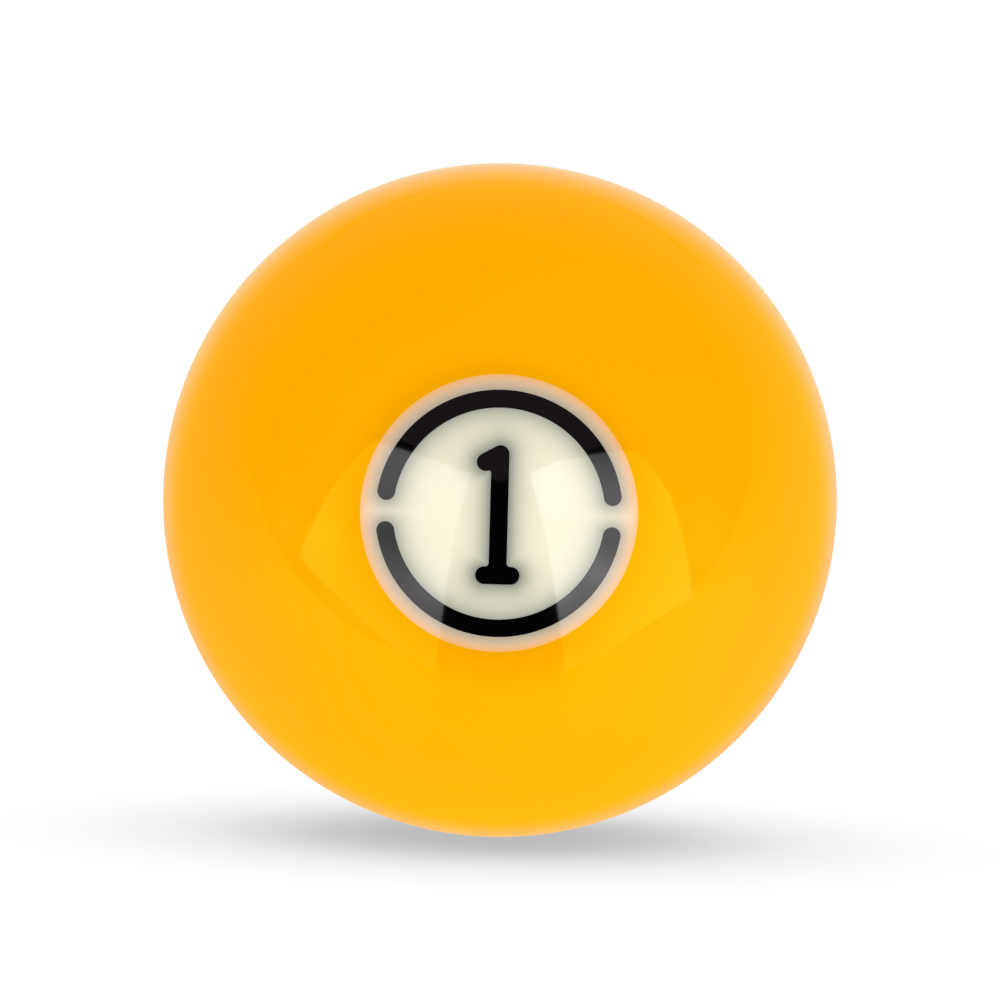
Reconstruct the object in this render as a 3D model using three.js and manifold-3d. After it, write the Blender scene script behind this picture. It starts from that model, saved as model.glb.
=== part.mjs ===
// Numbered pool ball: a solid cast phenolic ball with two round white number
// inserts let flush into opposite sides, each carrying an inlaid black numeral
// inside an inlaid black ring that is made in two arcs.
//
// Frame: millimetres, +Z up. The origin is the centre of the ball. The front
// number faces -Y and reads upright with +Z up; the back number faces +Y and
// also reads upright, so the back insert is the front one turned half a turn
// about Z. The ball touches the table at (0, 0, -BALL_DIAMETER / 2).

import * as THREE from 'three';
import { mergeVertices } from 'three/addons/utils/BufferGeometryUtils.js';
import Module from 'manifold-3d';

// ---------------------------------------------------------------- dimensions
const BALL_DIAMETER = 57.15;      // regulation pool ball, 2 1/4 in
const SPHERE_DETAIL = 15;         // odd, so that vertices fall on the X, Y and Z axes

const INSERT_RIM_RADIUS = 11.1;   // edge of the white insert where it meets the ball's surface
const INSERT_DEPTH = 6.5;         // from the crown of the ball to the insert's flat floor
const INSERT_DRAFT_DEG = 14;      // the insert's wall closes in towards the ball's centre
const INSERT_FOOT_RADIUS = 1.2;   // round between the insert's wall and its floor
const INSERT_SEGMENTS = 48;       // facets around the insert

const INLAY_DEPTH = 4.0;          // from the crown of the ball to the flat floor of the black inlays
const STROKE_WIDTH = 1.43;        // width of the numeral's strokes and of the ring

const RING_RADIUS = 9.165;        // centre line of the ring
const RING_END_DEG = 9.8;         // centre of each round end, from the horizontal gap line
const RING_STEP_DEG = 7.3;        // facets along the ring's arcs

const NUMERAL_TOP = 4.77;         // stroke centre lines of the numeral, from the insert's centre
const NUMERAL_BASE = -4.89;
const NUMERAL_FLAG_X = -1.15;     // free end of the flag
const NUMERAL_FLAG_Y = 4.13;
const NUMERAL_BAR_HALF = 1.05;    // half the length of the base bar's centre line
const BAR_FILLET = 0.3;           // inner corners where the stem stands on the bar
const FLAG_FILLET = 0.18;         // inner corner under the flag
const ROUND_END_FACETS = 8;       // facets on each half-round stroke end

const BOND_GAP = 0.08;            // bond line between pieces that are cast into each other

const COLOUR_BODY = 0xffad00;
const COLOUR_INSERT = 0xf7f3dd;
const COLOUR_INLAY = 0x0b0a0b;

// ------------------------------------------------------------------- helpers
const wasm = await Module();
wasm.setup();

const BALL_RADIUS = BALL_DIAMETER / 2;
const HALF_STROKE = STROKE_WIDTH / 2;
const rad = THREE.MathUtils.degToRad;

// The closed solid that a geometry bounds. Shared vertices are merged, slivers
// without area are dropped, and faces are turned to point out.
function solidOf(geometry) {
  const bare = geometry.clone();
  for (const name of Object.keys(bare.attributes)) {
    if (name !== 'position') bare.deleteAttribute(name);
  }
  const merged = mergeVertices(bare, 1e-5);
  const position = merged.attributes.position;
  const index = merged.index.array;
  const kept = [];
  let volume = 0;
  const a = new THREE.Vector3();
  const b = new THREE.Vector3();
  const c = new THREE.Vector3();
  for (let i = 0; i < index.length; i += 3) {
    const [i0, i1, i2] = [index[i], index[i + 1], index[i + 2]];
    if (i0 === i1 || i1 === i2 || i2 === i0) continue;
    a.fromBufferAttribute(position, i0);
    b.fromBufferAttribute(position, i1);
    c.fromBufferAttribute(position, i2);
    volume += a.dot(b.clone().cross(c)) / 6;
    kept.push(i0, i1, i2);
  }
  if (volume < 0) {
    for (let i = 0; i < kept.length; i += 3) {
      [kept[i + 1], kept[i + 2]] = [kept[i + 2], kept[i + 1]];
    }
  }
  return new wasm.Manifold(new wasm.Mesh({
    numProp: 3,
    vertProperties: new Float32Array(position.array),
    triVerts: new Uint32Array(kept),
  }));
}

// A solid back into a geometry with flat-shaded facets.
function geometryOf(solid) {
  const mesh = solid.getMesh();
  const geometry = new THREE.BufferGeometry();
  geometry.setAttribute('position', new THREE.BufferAttribute(new Float32Array(mesh.vertProperties), 3));
  geometry.setIndex(new THREE.BufferAttribute(new Uint32Array(mesh.triVerts), 1));
  geometry.computeVertexNormals();
  return geometry;
}

// Number inserts are drawn in their own frame: X to the reader's right, Y up
// the numeral, and Z out along the number axis. These two turns put them on
// the ball.
const FRONT = new THREE.Matrix4().makeRotationX(Math.PI / 2);
const BACK = new THREE.Matrix4().makeRotationZ(Math.PI).multiply(FRONT);

// -------------------------------------------------------------------- sphere
const sphere = solidOf(new THREE.IcosahedronGeometry(BALL_RADIUS, SPHERE_DETAIL));

// ------------------------------------------------------------ number inserts
// A tapered round plug about the number axis, its half-profile drawn as
// (radius, height) from the axis on the floor to the axis above the crown.
function plug(spread) {
  const rimHeight = Math.sqrt(BALL_RADIUS ** 2 - INSERT_RIM_RADIUS ** 2);
  const floorHeight = BALL_RADIUS - INSERT_DEPTH - spread;
  const topHeight = BALL_RADIUS + 2;
  const slope = Math.tan(rad(INSERT_DRAFT_DEG));
  const wallRadius = (height) => INSERT_RIM_RADIUS + spread + (height - rimHeight) * slope;
  const foot = INSERT_FOOT_RADIUS + spread;

  // The foot is an arc tangent to the floor and to the sloping wall.
  const turn = Math.PI / 2 - rad(INSERT_DRAFT_DEG);
  const footCentreHeight = floorHeight + foot;
  const footCentreRadius = wallRadius(footCentreHeight) - foot / Math.cos(rad(INSERT_DRAFT_DEG));

  const profile = [new THREE.Vector2(0, floorHeight)];
  const steps = 3;
  for (let i = 0; i <= steps; i += 1) {
    const t = -Math.PI / 2 + (i / steps) * turn;
    profile.push(new THREE.Vector2(
      footCentreRadius + foot * Math.cos(t),
      footCentreHeight + foot * Math.sin(t),
    ));
  }
  profile.push(new THREE.Vector2(wallRadius(topHeight), topHeight));
  profile.push(new THREE.Vector2(0, topHeight));
  const lathe = new THREE.LatheGeometry(profile, INSERT_SEGMENTS);
  lathe.rotateX(Math.PI / 2);
  return solidOf(lathe);
}

// ------------------------------------------------------------- black inlays
// Every inlay is a flat outline driven straight down from above the crown to
// the inlay floor. spread widens the outline all round and deepens it, which
// makes the groove that the inlay sits in.
function driven(shape, spread) {
  const floorHeight = BALL_RADIUS - INLAY_DEPTH - spread;
  const extruded = new THREE.ExtrudeGeometry(shape, {
    depth: BALL_RADIUS + 1 - floorHeight,
    steps: 1,
    bevelEnabled: false,
    curveSegments: 4,
  });
  extruded.translate(0, 0, floorHeight);
  return solidOf(extruded);
}

// A straight stroke with half-round ends, between two centre-line points.
function stroke(x0, y0, x1, y1, half) {
  const along = Math.atan2(y1 - y0, x1 - x0);
  const points = [];
  for (const [x, y, start] of [[x1, y1, along - Math.PI / 2], [x0, y0, along + Math.PI / 2]]) {
    for (let i = 0; i <= ROUND_END_FACETS; i += 1) {
      const t = start + (i / ROUND_END_FACETS) * Math.PI;
      points.push(new THREE.Vector2(x + half * Math.cos(t), y + half * Math.sin(t)));
    }
  }
  return new THREE.Shape(points);
}

// The small web that rounds the inner corner between two strokes: it is bounded
// by an arc about centre, from angle a to angle b, and reaches back to a point
// inside both strokes. A groove's web is bounded by a smaller arc about the
// same centre.
function fillet(inside, centre, radius, a, b) {
  const points = [new THREE.Vector2(...inside)];
  for (let i = 0; i <= 3; i += 1) {
    const t = a + (i / 3) * (b - a);
    points.push(new THREE.Vector2(centre[0] + radius * Math.cos(t), centre[1] + radius * Math.sin(t)));
  }
  return new THREE.Shape(points);
}

// The numeral: an upright stem, a short flag at its head and a bar at its foot.
function numeral(spread) {
  const half = HALF_STROKE + spread;
  const barX = HALF_STROKE + BAR_FILLET;
  const barY = NUMERAL_BASE + HALF_STROKE + BAR_FILLET;
  // The flag's fillet touches the stem's left side and the flag's round end.
  const flagX = -HALF_STROKE - FLAG_FILLET;
  const flagReach = HALF_STROKE + FLAG_FILLET;
  const flagY = NUMERAL_FLAG_Y - Math.sqrt(flagReach ** 2 - (flagX - NUMERAL_FLAG_X) ** 2);
  const flagTurn = Math.atan2(NUMERAL_FLAG_Y - flagY, NUMERAL_FLAG_X - flagX);
  return [
    stroke(0, NUMERAL_BASE, 0, NUMERAL_TOP, half),
    stroke(NUMERAL_FLAG_X, NUMERAL_FLAG_Y, 0, NUMERAL_TOP, half),
    stroke(-NUMERAL_BAR_HALF, NUMERAL_BASE, NUMERAL_BAR_HALF, NUMERAL_BASE, half),
    fillet([0, NUMERAL_BASE], [barX, barY], BAR_FILLET - spread, 1.5 * Math.PI, Math.PI),
    fillet([0, NUMERAL_BASE], [-barX, barY], BAR_FILLET - spread, 0, -Math.PI / 2),
    fillet([-0.3, NUMERAL_TOP - HALF_STROKE], [flagX, flagY], FLAG_FILLET - spread, 0, flagTurn),
  ].map((shape) => driven(shape, spread)).reduce((whole, next) => whole.add(next));
}

// One arc of the ring: side is 1 for the upper arc and -1 for the lower one.
function ringArc(side, spread) {
  const half = HALF_STROKE + spread;
  const first = rad(RING_END_DEG);
  const last = Math.PI - first;
  const steps = Math.round((last - first) / rad(RING_STEP_DEG));
  const points = [];
  for (let i = 0; i <= steps; i += 1) {
    const t = first + (i / steps) * (last - first);
    points.push([(RING_RADIUS + half) * Math.cos(t), (RING_RADIUS + half) * Math.sin(t)]);
  }
  for (let i = 1; i < ROUND_END_FACETS; i += 1) {
    const t = last + (i / ROUND_END_FACETS) * Math.PI;
    points.push([
      RING_RADIUS * Math.cos(last) + half * Math.cos(t),
      RING_RADIUS * Math.sin(last) + half * Math.sin(t),
    ]);
  }
  for (let i = steps; i >= 0; i -= 1) {
    const t = first + (i / steps) * (last - first);
    points.push([(RING_RADIUS - half) * Math.cos(t), (RING_RADIUS - half) * Math.sin(t)]);
  }
  for (let i = 1; i < ROUND_END_FACETS; i += 1) {
    const t = first + Math.PI + (i / ROUND_END_FACETS) * Math.PI;
    points.push([
      RING_RADIUS * Math.cos(first) + half * Math.cos(t),
      RING_RADIUS * Math.sin(first) + half * Math.sin(t),
    ]);
  }
  const outline = points.map(([x, y]) => new THREE.Vector2(x, side * y));
  return driven(new THREE.Shape(side > 0 ? outline : outline.reverse()), spread);
}

// ------------------------------------------------------------------ assembly
const bodyMaterial = () => new THREE.MeshStandardMaterial({ color: COLOUR_BODY, roughness: 0.08, metalness: 0 });
const insertMaterial = () => new THREE.MeshStandardMaterial({ color: COLOUR_INSERT, roughness: 0.08, metalness: 0 });
const inlayMaterial = () => new THREE.MeshStandardMaterial({ color: COLOUR_INLAY, roughness: 0.07, metalness: 0 });

const ball = new THREE.Group();

function place(name, solid, material) {
  const mesh = new THREE.Mesh(geometryOf(solid), material);
  mesh.name = name;
  ball.add(mesh);
}

const turned = (solid, matrix) => solid.transform(matrix.elements);

let body = sphere;
for (const [side, matrix] of [['front', FRONT], ['back', BACK]]) {
  // The same faceted sphere bounds every piece, so their outer faces lie flush.
  const pocket = turned(plug(BOND_GAP), matrix);
  body = body.subtract(pocket);

  const insert = sphere
    .intersect(turned(plug(0), matrix))
    .subtract(turned(numeral(BOND_GAP), matrix))
    .subtract(turned(ringArc(1, BOND_GAP), matrix))
    .subtract(turned(ringArc(-1, BOND_GAP), matrix));
  place(`number_insert_${side}`, insert, insertMaterial());
  place(`numeral_${side}`, sphere.intersect(turned(numeral(0), matrix)), inlayMaterial());
  place(`ring_upper_${side}`, sphere.intersect(turned(ringArc(1, 0), matrix)), inlayMaterial());
  place(`ring_lower_${side}`, sphere.intersect(turned(ringArc(-1, 0), matrix)), inlayMaterial());
}
place('ball_body', body, bodyMaterial());

export default ball;
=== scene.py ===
"""Numbered pool ball: the fine visual pieces, their resins, and a plain studio.

Metres, +Z up, origin at the centre of the ball. The front number faces -Y and
reads upright with +X to the reader's right; the back number faces +Y.
"""

import math

import bmesh
import bpy
import numpy as np
from mathutils import Matrix, Vector
from mathutils.geometry import delaunay_2d_cdt


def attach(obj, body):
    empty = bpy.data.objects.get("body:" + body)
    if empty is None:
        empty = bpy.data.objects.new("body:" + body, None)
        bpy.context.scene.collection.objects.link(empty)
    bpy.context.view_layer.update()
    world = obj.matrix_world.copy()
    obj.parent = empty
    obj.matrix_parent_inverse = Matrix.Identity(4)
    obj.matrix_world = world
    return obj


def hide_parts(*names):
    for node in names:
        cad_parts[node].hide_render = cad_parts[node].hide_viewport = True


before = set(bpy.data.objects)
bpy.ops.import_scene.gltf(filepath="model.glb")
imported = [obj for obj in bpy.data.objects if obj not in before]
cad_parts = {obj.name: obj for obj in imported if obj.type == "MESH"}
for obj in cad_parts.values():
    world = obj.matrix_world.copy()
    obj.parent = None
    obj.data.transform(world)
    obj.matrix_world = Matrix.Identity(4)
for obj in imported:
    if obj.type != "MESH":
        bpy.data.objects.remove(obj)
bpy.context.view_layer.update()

# ------------------------------------------------------------- dimensions, mm
BALL_RADIUS = 28.575

INSERT_RADIUS = 11.1
INSERT_DEPTH = 6.5
INSERT_DRAFT = math.radians(14)
INSERT_FOOT = 1.2
INLAY_DEPTH = 4.0
BOND = 0.04                     # bond line below the surface, each side

STROKE = 0.715                  # half the width of the ring and of the strokes
RING_RADIUS = 9.165
RING_END = math.radians(9.8)
STEM_TOP = (0.0, 4.77)
STEM_FOOT = (0.0, -4.89)
FLAG_END = (-1.15, 4.13)
BAR_HALF = 1.05
BAR_FILLET = 0.30
FLAG_FILLET = 0.18

COLUMNS = 256                   # facets around the ball and around the insert's rim
ROWS = 136                      # facets from the front rim to the back rim
GRID = 0.235                    # spacing of the insert's surface points
CLEAR = 0.105                   # no grid point closer than this to an outline

MM = 0.001


# ------------------------------------------------------------------ outlines
def arc(centre, radius, start, end, step):
    """Points along an arc, end points included. Angles in radians."""
    count = max(2, int(math.ceil(abs(end - start) * radius / step)))
    return [
        (
            centre[0] + radius * math.cos(start + (end - start) * i / count),
            centre[1] + radius * math.sin(start + (end - start) * i / count),
        )
        for i in range(count + 1)
    ]


def joined(pieces, step):
    """One closed outline from successive runs of points, with long straight gaps split up."""
    run = [p for piece in pieces for p in piece]
    clean = []
    for p in run:
        if not clean or math.dist(p, clean[-1]) > 1e-4:
            clean.append(p)
    if math.dist(clean[0], clean[-1]) <= 1e-4:
        clean.pop()
    out = []
    for i, p in enumerate(clean):
        q = clean[(i + 1) % len(clean)]
        parts = max(1, int(round(math.dist(p, q) / step)))
        out += [
            (p[0] + (q[0] - p[0]) * k / parts, p[1] + (q[1] - p[1]) * k / parts)
            for k in range(parts)
        ]
    return out


def numeral_outline():
    """The numeral 1, counter-clockwise: a stem, a flag at its head and a bar at its foot, with round ends."""
    step = 0.09
    lean = math.atan2(STEM_TOP[1] - FLAG_END[1], STEM_TOP[0] - FLAG_END[0])
    reach = STROKE + FLAG_FILLET
    web_x = -STROKE - FLAG_FILLET
    web_y = FLAG_END[1] - math.sqrt(reach ** 2 - (web_x - FLAG_END[0]) ** 2)
    touch = math.atan2(web_y - FLAG_END[1], web_x - FLAG_END[0])
    bar_y = STEM_FOOT[1]
    corner_x = STROKE + BAR_FILLET
    corner_y = bar_y + STROKE + BAR_FILLET
    quarter = math.pi / 2
    return joined(
        [
            arc(STEM_TOP, STROKE, 0, quarter + lean, step),
            arc(FLAG_END, STROKE, quarter + lean, touch + 2 * math.pi, step),
            arc((web_x, web_y), FLAG_FILLET, touch + math.pi, 0, 0.05),
            arc((-corner_x, corner_y), BAR_FILLET, 0, -quarter, 0.06),
            arc((-BAR_HALF, bar_y), STROKE, quarter, 3 * quarter, step),
            arc((BAR_HALF, bar_y), STROKE, -quarter, quarter, step),
            arc((corner_x, corner_y), BAR_FILLET, 3 * quarter, 2 * quarter, 0.06),
        ],
        0.16,
    )


def ring_outline(side):
    """One arc of the ring with half-round ends, counter-clockwise. side is 1 for the upper arc, -1 for the lower."""
    a, b = RING_END, math.pi - RING_END
    far = (RING_RADIUS * math.cos(b), RING_RADIUS * math.sin(b))
    near = (RING_RADIUS * math.cos(a), RING_RADIUS * math.sin(a))
    points = joined(
        [
            arc((0, 0), RING_RADIUS + STROKE, a, b, 0.2),
            arc(far, STROKE, b, b + math.pi, 0.09),
            arc((0, 0), RING_RADIUS - STROKE, b, a, 0.2),
            arc(near, STROKE, a + math.pi, a + 2 * math.pi, 0.09),
        ],
        0.2,
    )
    return points if side > 0 else [(x, -y) for x, y in reversed(points)]


def segment_distance(p, a, b):
    a, b = np.array(a), np.array(b)
    t = np.clip(((p - a) @ (b - a)) / ((b - a) @ (b - a)), 0, 1)
    return np.linalg.norm(p - a - t[:, None] * (b - a), axis=1)


def numeral_distance(p):
    """Distance in mm from points p to the numeral's edge, negative inside."""
    return (
        np.minimum.reduce(
            [
                segment_distance(p, STEM_FOOT, STEM_TOP),
                segment_distance(p, FLAG_END, STEM_TOP),
                segment_distance(p, (-BAR_HALF, STEM_FOOT[1]), (BAR_HALF, STEM_FOOT[1])),
            ]
        )
        - STROKE
    )


def ring_distance(p):
    """Distance in mm from points p to the nearer arc's edge, negative inside."""
    q = np.abs(p)
    end = np.array([math.cos(RING_END), math.sin(RING_END)]) * RING_RADIUS
    within = np.arctan2(q[:, 1], q[:, 0]) >= RING_END
    return (
        np.where(
            within,
            np.abs(np.linalg.norm(q, axis=1) - RING_RADIUS),
            np.linalg.norm(q - end, axis=1),
        )
        - STROKE
    )


# ---------------------------------------------------- the insert's fine mesh
def insert_plan():
    """The disc split into insert, numeral and ring arcs by one shared triangulation."""
    turn = 2 * math.pi / COLUMNS
    rim = [
        (INSERT_RADIUS * math.cos(k * turn), INSERT_RADIUS * math.sin(k * turn))
        for k in range(COLUMNS)
    ]
    loops = [rim, numeral_outline(), ring_outline(1), ring_outline(-1)]
    count = int(INSERT_RADIUS / GRID) + 2
    grid = np.array(
        [
            ((i + 0.5 * (j & 1)) * GRID, j * GRID * math.sqrt(3) / 2)
            for j in range(-int(count * 1.2), int(count * 1.2) + 1)
            for i in range(-count, count + 1)
        ]
    )
    keep = (
        (np.linalg.norm(grid, axis=1) < INSERT_RADIUS - 0.12)
        & (np.abs(numeral_distance(grid)) > CLEAR)
        & (np.abs(ring_distance(grid)) > CLEAR)
    )
    outline = np.array(loops[1])
    grid = grid[keep]
    near = np.abs(grid[:, 0]) < 2.6
    gap = np.full(len(grid), 9.0)
    gap[near] = np.linalg.norm(
        grid[near][:, None, :] - outline[None, :, :], axis=2
    ).min(axis=1)
    grid = grid[gap > 0.075]

    verts, faces = [], []
    for loop in loops:
        faces.append(list(range(len(verts), len(verts) + len(loop))))
        verts += loop
    verts += [tuple(p) for p in grid]
    out, _, tris, source, _, regions = delaunay_2d_cdt(
        [Vector(p) for p in verts], [], faces, 1, 1e-7, True
    )
    index = {}
    for new, olds in enumerate(source):
        for old in olds:
            index[old] = new
    region = [max(r) for r in regions]
    points = np.array([(p[0], p[1]) for p in out], float)
    for old, new in index.items():
        points[new] = verts[old]
    return points, tris, region, [[index[i] for i in face] for face in faces]


PLAN_POINTS, PLAN_TRIS, PLAN_REGION, PLAN_LOOPS = insert_plan()


def crown(points):
    """Height above the ball's centre of the ball's surface over points in the insert's plane."""
    return np.sqrt(BALL_RADIUS ** 2 - (points ** 2).sum(axis=1))


def offset_loop(points, amount):
    """A closed outline moved outwards by amount; counter-clockwise outlines only."""
    p = np.array(points)
    before, after = np.roll(p, 1, axis=0), np.roll(p, -1, axis=0)
    t = after - before
    n = np.stack([t[:, 1], -t[:, 0]], axis=1)
    return p + n / np.linalg.norm(n, axis=1)[:, None] * amount


def wall_profile(gap, foot_steps=6):
    """(radius, height) pairs down the insert's wall and round its foot to the floor, below the rim."""
    rim_height = math.sqrt(BALL_RADIUS ** 2 - INSERT_RADIUS ** 2)
    floor = BALL_RADIUS - INSERT_DEPTH - gap
    foot = INSERT_FOOT + gap
    slope = math.tan(INSERT_DRAFT)

    def radius(height):
        return INSERT_RADIUS + gap + (height - rim_height) * slope

    centre_h = floor + foot
    centre_r = radius(centre_h) - foot / math.cos(INSERT_DRAFT)
    top, bottom = -INSERT_DRAFT, -math.pi / 2
    profile = [(radius(rim_height - 0.12), rim_height - 0.12)]
    for i in range(foot_steps + 1):
        t = top + (bottom - top) * i / foot_steps
        profile.append((centre_r + foot * math.cos(t), centre_h + foot * math.sin(t)))
    return profile


def to_ball(side, uvw):
    """Insert frame (right, up, out) to the ball's frame. side is -1 for the front, 1 for the back."""
    uvw = np.asarray(uvw, float)
    return np.stack([-side * uvw[:, 0], side * uvw[:, 2], uvw[:, 1]], axis=1)


class Shell:
    """Collects vertices and faces of one closed piece, in mm."""

    def __init__(self):
        self.verts = []
        self.faces = []

    def add(self, points):
        first = len(self.verts)
        self.verts += [tuple(map(float, p)) for p in points]
        return list(range(first, len(self.verts)))

    def band(self, upper, lower):
        n = len(upper)
        for i in range(n):
            j = (i + 1) % n
            self.faces.append((upper[i], upper[j], lower[j], lower[i]))


def piece(name, shell, attributes=()):
    """A mesh object from a shell: outward faces, true round normals on the ball's surface."""
    mesh = bpy.data.meshes.new(name)
    mesh.from_pydata(
        [(x * MM, y * MM, z * MM) for x, y, z in shell.verts], [], shell.faces
    )
    bm = bmesh.new()
    bm.from_mesh(mesh)
    bmesh.ops.recalc_face_normals(bm, faces=bm.faces)
    bm.to_mesh(mesh)
    bm.free()
    mesh.shade_smooth()
    co = np.empty(len(mesh.vertices) * 3, np.float32)
    mesh.vertices.foreach_get("co", co)
    co = co.reshape(-1, 3).astype(float)
    reach = np.linalg.norm(co, axis=1)
    on_ball = reach > BALL_RADIUS * MM - 2e-6
    normals = []
    for polygon in mesh.polygons:
        round_face = all(on_ball[v] for v in polygon.vertices)
        flat = tuple(polygon.normal)
        for v in polygon.vertices:
            normals.append(tuple(co[v] / reach[v]) if round_face else flat)
    mesh.normals_split_custom_set(normals)
    for key, values in attributes:
        layer = mesh.attributes.new(key, "FLOAT", "POINT")
        layer.data.foreach_set("value", np.asarray(values, np.float32))
    thing = bpy.data.objects.new(name, mesh)
    bpy.context.scene.collection.objects.link(thing)
    return thing


def region_top(shell, region, side):
    """Adds the ball's surface over one region; returns plan index -> shell index."""
    tris = [t for t, r in zip(PLAN_TRIS, PLAN_REGION) if r == region]
    used = sorted({i for t in tris for i in t})
    flat = PLAN_POINTS[used]
    lifted = np.column_stack([flat, crown(flat)])
    ids = shell.add(to_ball(side, lifted))
    index = dict(zip(used, ids))
    shell.faces += [tuple(index[i] for i in t) for t in tris]
    return index, used


def inlay(name, region, side):
    """A black inlay: its polished face, walls that close in by a hair, and a flat floor."""
    shell = Shell()
    index, _ = region_top(shell, region, side)
    loop = PLAN_LOOPS[region]
    top = [index[i] for i in loop]
    outline = PLAN_POINTS[loop]
    floor = BALL_RADIUS - INLAY_DEPTH
    shoulder = offset_loop(outline, -0.02)
    shoulder_z = crown(outline) - 0.1
    upper = shell.add(to_ball(side, np.column_stack([shoulder, shoulder_z])))
    lower = shell.add(
        to_ball(side, np.column_stack([shoulder, np.full(len(shoulder), floor)]))
    )
    shell.band(top, upper)
    shell.band(upper, lower)
    shell.faces.append(tuple(lower))
    return piece(name, shell)


def insert(name, side):
    """The white insert: its polished face with the grooves that hold the inlays, wall, foot and floor."""
    shell = Shell()
    index, used = region_top(shell, 0, side)
    groove_floor = BALL_RADIUS - INLAY_DEPTH - 2 * BOND
    for region in (1, 2, 3):
        loop = PLAN_LOOPS[region]
        outline = PLAN_POINTS[loop]
        wide = offset_loop(outline, 0.02)
        upper = shell.add(to_ball(side, np.column_stack([wide, crown(outline) - 0.1])))
        lower = shell.add(
            to_ball(side, np.column_stack([wide, np.full(len(wide), groove_floor)]))
        )
        shell.band([index[i] for i in loop], upper)
        shell.band(upper, lower)
        shell.faces.append(tuple(lower))
    ring = [index[i] for i in PLAN_LOOPS[0]]
    for radius, height in wall_profile(0.0):
        points = [
            (radius * math.cos(2 * math.pi * k / COLUMNS), radius * math.sin(2 * math.pi * k / COLUMNS), height)
            for k in range(COLUMNS)
        ]
        lower = shell.add(to_ball(side, points))
        shell.band(ring, lower)
        ring = lower
    shell.faces.append(tuple(ring))
    total = len(shell.verts)
    flat = PLAN_POINTS[used]

    def spread(values):
        full = np.zeros(total)
        full[: len(used)] = values
        return full

    return piece(
        name,
        shell,
        [
            ("to_numeral", spread(np.maximum(numeral_distance(flat), 0))),
            ("to_ring", spread(np.maximum(ring_distance(flat), 0))),
            ("to_rim", spread(np.maximum(INSERT_RADIUS - np.linalg.norm(flat, axis=1), 0))),
        ],
    )


def body(name):
    """The coloured body: the ball's surface between the two rims, and a blind pocket behind each insert."""
    shell = Shell()
    first = math.asin(INSERT_RADIUS / BALL_RADIUS)
    rows = []
    for i in range(ROWS + 1):
        t = first + (math.pi - 2 * first) * i / ROWS
        r, y = BALL_RADIUS * math.sin(t), -BALL_RADIUS * math.cos(t)
        rows.append(
            shell.add(
                [
                    (r * math.cos(2 * math.pi * k / COLUMNS), y, r * math.sin(2 * math.pi * k / COLUMNS))
                    for k in range(COLUMNS)
                ]
            )
        )
    for upper, lower in zip(rows, rows[1:]):
        shell.band(upper, lower)
    for side, ring in ((-1, rows[0]), (1, rows[-1])):
        for radius, height in wall_profile(BOND):
            lower = shell.add(
                [
                    (radius * math.cos(2 * math.pi * k / COLUMNS), side * height, radius * math.sin(2 * math.pi * k / COLUMNS))
                    for k in range(COLUMNS)
                ]
            )
            shell.band(ring, lower)
            ring = lower
        shell.faces.append(tuple(ring))
    return piece(name, shell)


# ----------------------------------------------------------------- materials
class Graph:
    """Short names for the shader nodes used below."""

    def __init__(self, tree):
        self.tree = tree

    def node(self, kind, **settings):
        node = self.tree.nodes.new(kind)
        for key, value in settings.items():
            setattr(node, key, value)
        return node

    def feed(self, socket, value):
        if isinstance(value, bpy.types.NodeSocket):
            self.tree.links.new(value, socket)
        else:
            socket.default_value = value

    def math(self, operation, *values, clamp=False):
        node = self.node("ShaderNodeMath", operation=operation, use_clamp=clamp)
        for socket, value in zip(node.inputs, values):
            self.feed(socket, value)
        return node.outputs[0]

    def vector(self, operation, *values):
        node = self.node("ShaderNodeVectorMath", operation=operation)
        for socket, value in zip(node.inputs, values):
            self.feed(socket, value)
        return node.outputs["Value" if operation in ("DOT_PRODUCT", "LENGTH") else "Vector"]

    def parts(self, vector):
        node = self.node("ShaderNodeSeparateXYZ")
        self.feed(node.inputs[0], vector)
        return node.outputs

    def gathered(self, x, y, z):
        node = self.node("ShaderNodeCombineXYZ")
        for socket, value in zip(node.inputs, (x, y, z)):
            self.feed(socket, value)
        return node.outputs[0]

    def mixed(self, factor, low, high):
        """low where factor is 0, high where it is 1, for vectors and colours."""
        node = self.node("ShaderNodeMix", data_type="VECTOR")
        self.feed(node.inputs["Factor"], factor)
        first, second = [s for s in node.inputs if s.type == "VECTOR"][-2:]
        self.feed(first, low)
        self.feed(second, high)
        return [s for s in node.outputs if s.type == "VECTOR"][0]

    def place(self):
        return self.node("ShaderNodeTexCoord").outputs["Object"]

    def attribute(self, name):
        return self.node("ShaderNodeAttribute", attribute_name=name).outputs["Fac"]

    def noise(self, vector, scale, detail=2.0, roughness=0.5, distortion=0.0):
        node = self.node("ShaderNodeTexNoise")
        self.feed(node.inputs["Vector"], vector)
        node.inputs["Scale"].default_value = scale
        node.inputs["Detail"].default_value = detail
        node.inputs["Roughness"].default_value = roughness
        node.inputs["Distortion"].default_value = distortion
        return node.outputs["Fac"]

    def cells(self, vector, scale):
        node = self.node("ShaderNodeTexVoronoi", feature="F1", distance="EUCLIDEAN")
        self.feed(node.inputs["Vector"], vector)
        node.inputs["Scale"].default_value = scale
        return node.outputs["Distance"], node.outputs["Color"]

    def smooth(self, value, low, high, to_low=0.0, to_high=1.0):
        node = self.node("ShaderNodeMapRange", interpolation_type="SMOOTHSTEP")
        self.feed(node.inputs["Value"], value)
        node.inputs["From Min"].default_value = low
        node.inputs["From Max"].default_value = high
        node.inputs["To Min"].default_value = to_low
        node.inputs["To Max"].default_value = to_high
        return node.outputs["Result"]

    def decay(self, distance, length, power=1.0):
        """exp(-(distance / length) ** power)"""
        scaled = self.math("DIVIDE", distance, length)
        if power != 1.0:
            scaled = self.math("POWER", scaled, power)
        return self.math("POWER", math.e, self.math("MULTIPLY", scaled, -1.0))


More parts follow.
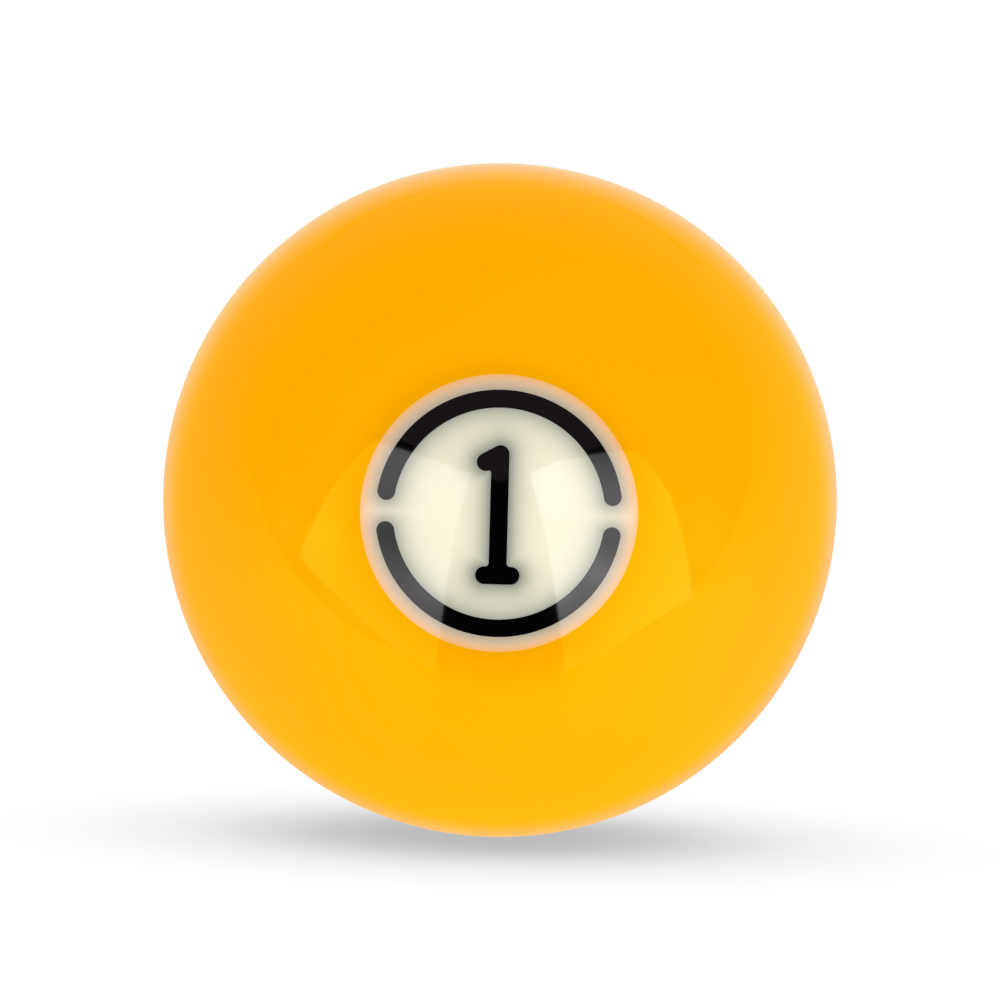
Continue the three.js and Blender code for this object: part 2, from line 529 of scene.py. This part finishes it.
def resin(name, tint=(1, 1, 1), ior=1.56):
    """A polished cast resin: its graph and its Principled shader."""
    material = bpy.data.materials.new(name)
    material.use_nodes = True
    material.node_tree.nodes.clear()
    g = Graph(material.node_tree)
    shader = g.node("ShaderNodeBsdfPrincipled")
    shader.inputs["IOR"].default_value = ior
    shader.inputs["Specular Tint"].default_value = (*tint, 1)
    out = g.node("ShaderNodeOutputMaterial")
    g.tree.links.new(shader.outputs[0], out.inputs["Surface"])
    return material, g, shader


def polish(g, shader, where, base, spread, lay):
    """Roughness with faint buffing swirls, and a surface that waves by a fraction of a micron."""
    broad = g.noise(where, 70.0, 2.0, 0.5, 0.6)
    fine = g.noise(where, 2600.0, 1.0, 0.6)
    haze = g.math("MULTIPLY_ADD", broad, 0.7, g.math("MULTIPLY", fine, 0.3))
    g.feed(shader.inputs["Roughness"], g.math("MULTIPLY_ADD", haze, spread, base))
    wave = g.noise(where, 120.0, 1.0, 0.4)
    bump = g.node("ShaderNodeBump")
    bump.inputs["Strength"].default_value = 1.0
    bump.inputs["Distance"].default_value = lay
    g.feed(bump.inputs["Height"], wave)
    g.tree.links.new(bump.outputs[0], shader.inputs["Normal"])
    return bump


def body_resin():
    """Golden yellow phenolic resin, with painted shade making it a little darker where it meets an insert."""
    material, g, shader = resin("golden_yellow_resin", tint=(1.0, 0.80, 0.0))
    where = g.place()
    # Distance in mm along the surface from the nearer insert's rim.
    direction = g.vector("NORMALIZE", where)
    lean = g.math("ARCCOSINE", g.math("ABSOLUTE", g.parts(direction)[1], clamp=True))
    rim_turn = math.asin(INSERT_RADIUS / BALL_RADIUS)
    away = g.math("MAXIMUM", g.math("MULTIPLY", g.math("SUBTRACT", lean, rim_turn), BALL_RADIUS), 0.0)
    # Painted shade: red and green are darkened over the last millimetres of the body next to each insert's rim.
    red, green = g.decay(away, 2.6, 1.3), g.decay(away, 1.7, 2.0)
    painted_rim_shade = g.vector("MULTIPLY_ADD", g.gathered(red, green, 0.0), (-0.200, -0.115, 0.0), (1, 1, 1))

    # Slow mottling of the pour, finer graining, and sparse flecks.
    cloud = g.noise(where, 55.0, 3.0, 0.55, 0.4)
    grain = g.noise(where, 900.0, 2.0, 0.6)
    tone = g.math("ADD", g.math("MULTIPLY", g.math("SUBTRACT", cloud, 0.5), 0.045),
                  g.math("MULTIPLY", g.math("SUBTRACT", grain, 0.5), 0.016))
    level = g.math("ADD", tone, 1.0)
    distance, cell = g.cells(where, 400.0)
    kind = g.parts(cell)
    size = g.math("MULTIPLY_ADD", kind[0], 0.030, 0.012)
    fleck = g.smooth(g.math("DIVIDE", distance, size), 0.6, 1.15, 1.0, 0.0)
    darker = g.math("MULTIPLY", fleck, g.smooth(kind[1], 0.25, 0.35, 0.0, -0.16))
    lighter = g.math("MULTIPLY", fleck, g.smooth(kind[1], 0.14, 0.20, 0.10, 0.0))
    level = g.math("ADD", level, g.math("ADD", darker, lighter))
    mottled = g.gathered(g.math("MULTIPLY_ADD", g.math("SUBTRACT", level, 1.0), 0.35, 1.0), level, level)
    colour = g.vector("MULTIPLY", g.vector("MULTIPLY", painted_rim_shade, mottled), BODY_COLOUR)
    g.feed(shader.inputs["Base Color"], colour)
    polish(g, shader, where, 0.045, 0.03, 0.0000008)
    return material


def insert_resin():
    """Ivory resin. Light sinks into it; painted shade greys it beside the black inlays, and painted light from the
    yellow body tints it at its rim.
    """
    material, g, shader = resin("ivory_resin")
    where = g.place()
    # Painted shade: the ivory is greyed within about a millimetre of the numeral and of the ring.
    numeral = g.decay(g.attribute("to_numeral"), 1.05, 1.2)
    ring = g.decay(g.attribute("to_ring"), 1.15, 1.15)
    rim = g.attribute("to_rim")
    painted_numeral_shade = g.vector("MULTIPLY_ADD", g.gathered(numeral, numeral, numeral), (-0.68, -0.645, -0.590), (1, 1, 1))
    painted_ring_shade = g.vector("MULTIPLY_ADD", g.gathered(ring, ring, ring), (-0.605, -0.545, -0.475), (1, 1, 1))
    # Painted light: towards the rim green and blue are lowered and a warm yellow is added, standing in for the body's
    # yellow light seen through the resin.
    edge = g.gathered(
        1.0,
        g.math("MULTIPLY_ADD", g.decay(rim, 1.0, 1.2), -0.44, 1.0),
        g.math("MULTIPLY_ADD", g.decay(rim, 0.80), -0.74, 1.0),
    )
    glow = g.decay(rim, 1.3)
    warm = g.vector("MULTIPLY", g.gathered(glow, glow, glow), PAINTED_RIM_LIGHT)
    cloud = g.noise(where, 160.0, 3.0, 0.55)
    grain = g.noise(where, 1500.0, 2.0, 0.6)
    tone = g.math("ADD", g.math("MULTIPLY", g.math("SUBTRACT", cloud, 0.5), 0.02),
                  g.math("MULTIPLY", g.math("SUBTRACT", grain, 0.5), 0.012))
    distance, cell = g.cells(where, 520.0)
    kind = g.parts(cell)
    size = g.math("MULTIPLY_ADD", kind[0], 0.026, 0.010)
    fleck = g.smooth(g.math("DIVIDE", distance, size), 0.6, 1.15, -0.10, 0.0)
    level = g.math("ADD", 1.0, g.math("ADD", tone, fleck))
    colour = g.vector("MULTIPLY", painted_numeral_shade, painted_ring_shade)
    colour = g.vector("MULTIPLY", colour, edge)
    colour = g.vector("MULTIPLY_ADD", colour, INSERT_COLOUR, warm)
    colour = g.vector("MULTIPLY", colour, g.gathered(level, level, level))
    g.feed(shader.inputs["Base Color"], colour)
    polish(g, shader, where, 0.05, 0.03, 0.0000006)
    return material


def inlay_resin():
    """Black resin with a trace of brown, faintly uneven."""
    material, g, shader = resin("black_resin")
    where = g.place()
    cloud = g.noise(where, 300.0, 3.0, 0.6)
    grain = g.noise(where, 2200.0, 2.0, 0.6)
    level = g.math("ADD", g.math("MULTIPLY_ADD", g.math("SUBTRACT", cloud, 0.5), 0.5, 1.0),
                   g.math("MULTIPLY", g.math("SUBTRACT", grain, 0.5), 0.5))
    colour = g.vector("MULTIPLY", g.gathered(level, level, level), INLAY_COLOUR)
    g.feed(shader.inputs["Base Color"], colour)
    polish(g, shader, where, 0.045, 0.03, 0.0000005)
    return material


BODY_COLOUR = (0.98, 0.377, 0.0)
INSERT_COLOUR = (0.808, 0.769, 0.572)
# Painted light added to the insert near its rim, for the body's yellow light seen through the resin.
PAINTED_RIM_LIGHT = (0.155, 0.065, 0.0)
INLAY_COLOUR = (0.0009, 0.0008, 0.0009)


# -------------------------------------------------------------------- pieces
def finished(thing, node, material):
    thing.data.materials.append(material)
    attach(thing, "root")
    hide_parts(node)


YELLOW, IVORY, BLACK = body_resin(), insert_resin(), inlay_resin()
finished(body("yellow_body"), "ball_body", YELLOW)
for word, side in (("front", -1), ("back", 1)):
    finished(insert(f"ivory_insert_{word}", side), f"number_insert_{word}", IVORY)
    finished(inlay(f"black_numeral_{word}", 1, side), f"numeral_{word}", BLACK)
    finished(inlay(f"black_ring_upper_{word}", 2, side), f"ring_upper_{word}", BLACK)
    finished(inlay(f"black_ring_lower_{word}", 3, side), f"ring_lower_{word}", BLACK)


# -------------------------------------------------------------------- studio
scene = bpy.context.scene
scene.view_settings.view_transform = "Standard"


def glow_material(name, tint, strength, spots=(), margin=None):
    """A light panel's face. Each spot is (x, y, radius, extra) in its own plane, metres.

    margin = (x, y, angle, near, near_length, far, far_length) makes it a see-through glow
    instead, which falls away from a straight edge through (x, y).
    """
    material = bpy.data.materials.new(name)
    material.use_nodes = True
    material.node_tree.nodes.clear()
    g = Graph(material.node_tree)
    emission = g.node("ShaderNodeEmission")
    emission.inputs["Color"].default_value = (*tint, 1)
    where = g.place()
    level = g.math("ADD", strength, 0.0)
    for x, y, radius, extra in spots:
        away = g.vector("LENGTH", g.vector("SUBTRACT", where, (x, y, 0)))
        level = g.math("ADD", level, g.math("MULTIPLY", g.decay(away, radius, 2.0), extra))
    out = g.node("ShaderNodeOutputMaterial")
    if margin:
        x, y, angle, near, near_length, far, far_length = margin
        turn = math.radians(angle)
        offset = g.vector("SUBTRACT", where, (x, y, 0))
        beyond = g.vector("DOT_PRODUCT", offset, (math.cos(turn), math.sin(turn), 0))
        past = g.math("MAXIMUM", beyond, 0.0)
        fall = g.math("ADD", g.math("MULTIPLY", g.decay(past, near_length), near),
                      g.math("MULTIPLY", g.decay(past, far_length), far))
        low = g.smooth(g.parts(where)[1], -0.12, -0.05, 1.0, 0.0)
        level = g.math("ADD", level, g.math("MULTIPLY", fall, low))
        g.feed(emission.inputs["Strength"], g.math("MAXIMUM", level, 0.0))
        clear = g.node("ShaderNodeBsdfTransparent")
        both = g.node("ShaderNodeAddShader")
        g.tree.links.new(emission.outputs[0], both.inputs[0])
        g.tree.links.new(clear.outputs[0], both.inputs[1])
        g.tree.links.new(both.outputs[0], out.inputs["Surface"])
    else:
        g.feed(emission.inputs["Strength"], level)
        g.tree.links.new(emission.outputs[0], out.inputs["Surface"])
    material.cycles.emission_sampling = "NONE"
    return material


def heading(azimuth, elevation):
    """Unit vector from the ball; azimuth 0 is -Y, positive towards +X. Degrees."""
    a, e = math.radians(azimuth), math.radians(elevation)
    return Vector((math.sin(a) * math.cos(e), -math.cos(a) * math.cos(e), math.sin(e)))


def panel(name, azimuth, elevation, distance, outline, material):
    """A flat softbox facing the ball. outline is in metres in its own plane, seen from the ball."""
    out = heading(azimuth, elevation)
    across = Vector((0, 0, 1)).cross(out).normalized()
    up = out.cross(across)
    mesh = bpy.data.meshes.new(name)
    mesh.from_pydata([(x, y, 0) for x, y in outline], [], [tuple(range(len(outline)))])
    mesh.materials.append(material)
    thing = bpy.data.objects.new(name, mesh)
    turn = Matrix((across, up, out)).transposed().to_4x4()
    thing.matrix_world = Matrix.Translation(out * distance) @ turn
    scene.collection.objects.link(thing)
    thing.visible_camera = False
    thing.visible_diffuse = False
    thing.visible_shadow = False
    thing.visible_transmission = False
    return thing


SOFTBOX_TINT = (1.0, 0.96, 0.97)
panel(
    "softbox_right", 42, -14, 0.45,
    [(-0.313, 0.228), (-0.224, 0.261), (-0.057, 0.276), (0.029, 0.277), (0.058, 0.259),
     (0.130, 0.146), (0.180, 0.024), (0.241, -0.101), (0.190, -0.127), (0.104, -0.188),
     (-0.048, -0.374), (-0.112, -0.233), (-0.165, -0.113), (-0.232, 0.049)],
    glow_material(
        "softbox_right_face", SOFTBOX_TINT, 2.45,
        [(-0.065, -0.045, 0.045, 1.0), (-0.03, 0.03, 0.045, -0.45),
         (-0.07, -0.29, 0.13, -1.0), (-0.05, 0.33, 0.13, -1.6),
         (-0.19, 0.04, 0.085, -1.0), (-0.145, -0.115, 0.045, 1.1)],
    ),
)
panel(
    "softbox_left", -42, -14, 0.45,
    [(0.314, 0.224), (0.222, 0.239), (0.074, 0.270), (-0.022, 0.285), (-0.095, 0.181),
     (-0.170, 0.065), (-0.236, -0.027), (-0.121, -0.123), (-0.031, -0.240), (0.068, -0.396),
     (0.124, -0.273), (0.180, -0.129), (0.240, 0.044)],
    glow_material(
        "softbox_left_face", SOFTBOX_TINT, 1.75,
        [(-0.15, 0.03, 0.07, 0.75), (0.05, 0.04, 0.07, -0.70), (0.18, 0.02, 0.075, -0.75),
         (0.11, -0.10, 0.05, 0.40), (0.16, -0.125, 0.045, 0.55), (0.07, -0.36, 0.13, -0.35)],
    ),
)
panel(
    "margin_right", 42, -14, 0.4505,
    [(-0.05, 0.35), (0.62, 0.35), (0.62, -0.85), (0.03, -0.85)],
    glow_material(
        "margin_right_face", SOFTBOX_TINT, 0.0,
        [(0.25, 0.03, 0.075, 0.70)],
        (0.241, -0.101, -46.6, 0.22, 0.02, 0.34, 0.25),
    ),
)
panel(
    "margin_left", -42, -14, 0.4505,
    [(0.05, 0.35), (-0.62, 0.35), (-0.62, -0.85), (-0.03, -0.85)],
    glow_material(
        "margin_left_face", SOFTBOX_TINT, 0.0,
        [(-0.28, 0.04, 0.060, 0.60)],
        (-0.236, -0.027, -140.5, 0.48, 0.055, 0.04, 0.30),
    ),
)


def studio_world():
    """White cyclorama to the eye; even, slightly under-lit light on the ball; and what its polish mirrors."""
    world = bpy.data.worlds.new("studio")
    scene.world = world
    world.use_nodes = True
    world.node_tree.nodes.clear()
    world.cycles.sampling_method = "NONE"
    g = Graph(world.node_tree)
    where = g.vector("NORMALIZE", g.node("ShaderNodeTexCoord").outputs["Generated"])
    x, y, z = g.parts(where)

    # Even light, a little stronger from below, from the front and from the right.
    fill = g.vector("DOT_PRODUCT", where, FILL_SLOPE)
    fill = g.math("ADD", fill, FILL_LEVEL)
    lit = g.gathered(fill, fill, fill)

    # What the polish mirrors. rise is -1 straight below and 1 straight above, across the view.
    sideways = g.math("MAXIMUM", g.vector("LENGTH", g.gathered(x, 0.0, z)), 0.001)
    rise = g.math("DIVIDE", z, sideways)
    lean = g.math("DIVIDE", x, sideways)
    upper = g.smooth(rise, -0.5575, 0.5769)
    room = g.math("MULTIPLY", g.math("MULTIPLY_ADD", y, 1.235, -0.1267, clamp=True), 0.8126)

    # The table ends nearer than the softboxes; between them it lies in the dark of the camera.
    depth = g.math("MULTIPLY_ADD", z, -0.645, y)
    side = g.smooth(y, -0.40, 0.4185, 1.2018, 0.6393)
    side = g.math("MULTIPLY", side, g.math("MULTIPLY_ADD", g.math("MULTIPLY", depth, 6.748, clamp=True), 0.183, 0.817))
    side = g.math("MULTIPLY", side, g.smooth(depth, -0.004, 0.004))
    middle = g.smooth(y, -0.40, 0.42, 0.97, 0.61)
    middle = g.math("MULTIPLY", middle, g.smooth(depth, -0.02, 0.21))
    between = g.smooth(g.math("ABSOLUTE", g.math("SUBTRACT", x, 0.02)), 0.285, 0.312, 1.0, 0.0)
    table = g.math("ADD", g.math("MULTIPLY", side, g.math("SUBTRACT", 1.0, between)),
                   g.math("MULTIPLY", middle, between))
    green = g.math("ADD", g.math("MULTIPLY", table, g.math("SUBTRACT", 1.0, upper)),
                   g.math("MULTIPLY", room, upper))

    # Behind the ball the surroundings turn from warm to nearly white.
    start = g.math("MULTIPLY_ADD", rise, -0.047, 0.6897)
    blue = g.math("DIVIDE", g.math("SUBTRACT", y, start), g.math("SUBTRACT", 0.9196, start), clamp=True)
    blue = g.math("MULTIPLY", g.math("POWER", blue, 1.2),
                  g.math("ADD", g.math("MULTIPLY_ADD", rise, 0.1814, 0.4389), g.math("MULTIPLY", lean, 0.0346)))
    least = g.math("MULTIPLY", g.smooth(y, 0.20, 0.70, 0.40, 0.20), g.smooth(rise, -0.95, -0.50, 0.35, 1.0))
    blue = g.math("MAXIMUM", blue, g.math("MULTIPLY", green, least))
    extra = g.math("MULTIPLY", g.math("MULTIPLY_ADD", y, 5.882, -4.706, clamp=True), 0.34)
    extra = g.math("ADD", g.math("MULTIPLY", extra, g.math("SUBTRACT", 1.0, upper)),
                   g.math("MULTIPLY", g.math("MULTIPLY", room, 0.08), upper))

    # A fine dark seam in the room, bowed, high behind the ball.
    seam = g.math("SUBTRACT", g.math("MULTIPLY_ADD", g.math("MULTIPLY", x, x), 0.17, z), 0.629)
    seam = g.decay(g.math("ABSOLUTE", seam), 0.011, 2.0)
    seam = g.math("MULTIPLY", seam, g.smooth(y, 0.60, 0.68, 0.0, 0.13))
    green = g.math("SUBTRACT", green, seam)
    blue = g.math("MAXIMUM", g.math("SUBTRACT", blue, seam), 0.0)
    mirrored = g.gathered(g.math("ADD", green, extra), green, blue)

    # A dim ceiling in front of the ball, above the softboxes.
    ceiling = g.smooth(g.math("MULTIPLY_ADD", g.math("ABSOLUTE", x), -0.364, z), 0.135, 0.155)
    ceiling = g.math("MULTIPLY", ceiling, g.smooth(y, -0.70, -0.35, 1.0, 0.0))
    mirrored = g.vector("MULTIPLY_ADD", g.gathered(ceiling, ceiling, ceiling), (0.17, 0.13, 0.14), mirrored)

    path = g.node("ShaderNodeLightPath")
    seen = g.mixed(path.outputs["Is Glossy Ray"], lit, mirrored)
    seen = g.mixed(path.outputs["Is Camera Ray"], seen, (1.03, 1.03, 1.03))
    background = g.node("ShaderNodeBackground")
    g.feed(background.inputs["Color"], seen)
    out = g.node("ShaderNodeOutputWorld")
    g.tree.links.new(background.outputs[0], out.inputs["Surface"])


FILL_LEVEL = 1.195
FILL_SLOPE = (0.1196, -0.0612, -0.1437)
studio_world()


def floor():
    """A wide pale floor that the ball stands on. It glows evenly, with a painted shadow round the ball worked out from
    ambient occlusion.
    """
    half = 6.0
    mesh = bpy.data.meshes.new("floor")
    z = -BALL_RADIUS * MM
    mesh.from_pydata([(-half, -half, z), (half, -half, z), (half, half, z), (-half, half, z)], [], [(0, 1, 2, 3)])
    material = bpy.data.materials.new("pale_floor")
    material.use_nodes = True
    material.node_tree.nodes.clear()
    g = Graph(material.node_tree)
    # Painted shadow: the floor's glow is dimmed where ambient occlusion finds the ball nearby; the tilted normal makes
    # the shadow lean to one side.
    near = g.node("ShaderNodeAmbientOcclusion", samples=16)
    near.inputs["Distance"].default_value = 0.07
    near.inputs["Normal"].default_value = (-0.35, -0.10, 0.93)
    lift = g.node("ShaderNodeEmission")
    g.feed(lift.inputs["Strength"], g.smooth(near.outputs["AO"], 0.0, 0.95, 0.50, 1.02))
    out = g.node("ShaderNodeOutputMaterial")
    g.tree.links.new(lift.outputs[0], out.inputs["Surface"])
    material.cycles.emission_sampling = "NONE"
    mesh.materials.append(material)
    thing = bpy.data.objects.new("floor", mesh)
    scene.collection.objects.link(thing)
    thing.visible_diffuse = False
    thing.visible_glossy = False
    thing.visible_shadow = False


floor()


def camera():
    """Level with the front number, a hand's height above the ball's middle, and far enough away to flatten it."""
    lens = bpy.data.cameras.new("camera")
    lens.lens = 185.2
    lens.sensor_width = 36.0
    lens.clip_start = 0.01
    lens.clip_end = 50.0
    thing = bpy.data.objects.new("camera", lens)
    scene.collection.objects.link(thing)
    out = heading(CAMERA_AZIMUTH, CAMERA_ELEVATION)
    right = Vector((0, 0, 1)).cross(out).normalized()
    up = out.cross(right)
    turn = math.radians(CAMERA_ROLL)
    across = right * math.cos(turn) + up * math.sin(turn)
    over = up * math.cos(turn) - right * math.sin(turn)
    basis = Matrix((across, over, out)).transposed().to_4x4()
    thing.matrix_world = Matrix.Translation(out * CAMERA_DISTANCE) @ basis
    scene.camera = thing


CAMERA_AZIMUTH = 0.11
CAMERA_ELEVATION = 2.3
CAMERA_ROLL = 1.55
CAMERA_DISTANCE = 0.4372
camera()

bpy.context.view_layer.update()
